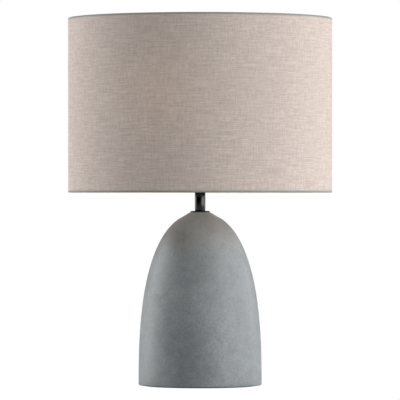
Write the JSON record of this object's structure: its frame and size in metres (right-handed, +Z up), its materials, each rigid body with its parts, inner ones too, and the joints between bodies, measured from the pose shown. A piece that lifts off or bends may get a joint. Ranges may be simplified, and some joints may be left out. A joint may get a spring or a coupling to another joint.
{
  "type": "table lamp",
  "caption": "Table lamp with a bullet-shaped cast concrete base, a short black metal neck, and a wide straight drum shade of slubbed linen over a screw-in LED bulb.",
  "frame": {"origin": "centre of the foot, on the table top", "axes": "+Z up along the lamp's axis; +Y towards the back, where the cord inlet and the shade's seam are; -Y is the front; the switch bar slides along X"},
  "size_m": [0.4, 0.4, 0.5571],
  "materials": {
    "concrete": "cast, fine-pored, matt",
    "black_nickel": "glossy black nickel plate",
    "painted_steel": "off-white powder coat",
    "zinc_plate": "bright zinc plate",
    "brass": "bare",
    "felt": "pressed black felt",
    "grommet_rubber": "black, matt",
    "holder_plastic": "black moulded, satin",
    "contact_ceramic": "white, glazed",
    "linen": "slubbed plain weave, taupe grey",
    "liner": "white styrene sheet, satin",
    "bulb_plastic": "white, matt",
    "opal": "opal white, satin",
    "circuit_board": "white solder mask"
  },
  "bodies": {
    "base": {"concrete_base": "concrete", "base_plate": "painted_steel", "felt_pad": "felt", "plate_screw_1": "zinc_plate", "plate_screw_2": "zinc_plate", "plate_screw_3": "zinc_plate", "screw_anchor_1": "brass", "screw_anchor_2": "brass", "screw_anchor_3": "brass", "cord_grommet": "grommet_rubber", "clamp_washer": "zinc_plate", "clamp_nut": "zinc_plate", "threaded_tube": "zinc_plate", "neck_flange": "black_nickel", "neck_tube": "black_nickel", "neck_washer": "black_nickel", "holder_cap": "holder_plastic", "holder_grub_screw": "zinc_plate", "contact_block": "contact_ceramic", "centre_contact": "brass", "side_contact_front": "brass", "side_contact_back": "brass", "terminal_live": "brass", "terminal_neutral": "brass", "terminal_screw_live": "zinc_plate", "terminal_screw_neutral": "zinc_plate", "holder_skirt": "holder_plastic"},
    "switch": {"switch_bar": "holder_plastic"},
    "ring": {"shade_ring": "holder_plastic"},
    "shade": {"fitter_ring": "painted_steel", "carrier_arm_1": "painted_steel", "carrier_arm_2": "painted_steel", "carrier_arm_3": "painted_steel", "bottom_hoop": "painted_steel", "top_hoop": "painted_steel", "shade_fabric": "linen", "shade_liner": "liner"},
    "bulb": {"bulb_tip_contact": "zinc_plate", "bulb_insulator": "holder_plastic", "bulb_screw_shell": "zinc_plate", "bulb_housing": "bulb_plastic", "bulb_driver_board": "circuit_board", "bulb_led_board": "circuit_board", "bulb_diffuser": "opal"}
  },
  "joints": [
    {"name": "switch_push", "type": "slide", "parent": "base", "child": "switch", "axis": [1, 0, 0], "range_m": [0, 0.005]},
    {"name": "shade_turn", "type": "hinge", "parent": "base", "child": "shade", "pos_m": [0, 0, 0.3425], "axis": [0, 0, 1], "continuous": true},
    {"name": "shade_ring_turn", "type": "hinge", "parent": "base", "child": "ring", "pos_m": [0, 0, 0.348], "axis": [0, 0, 1], "range_deg": [0, 1080]},
    {"name": "bulb_out", "type": "slide", "parent": "base", "child": "bulb", "axis": [0, 0, 1], "range_m": [0, 0.22]}
  ]
}
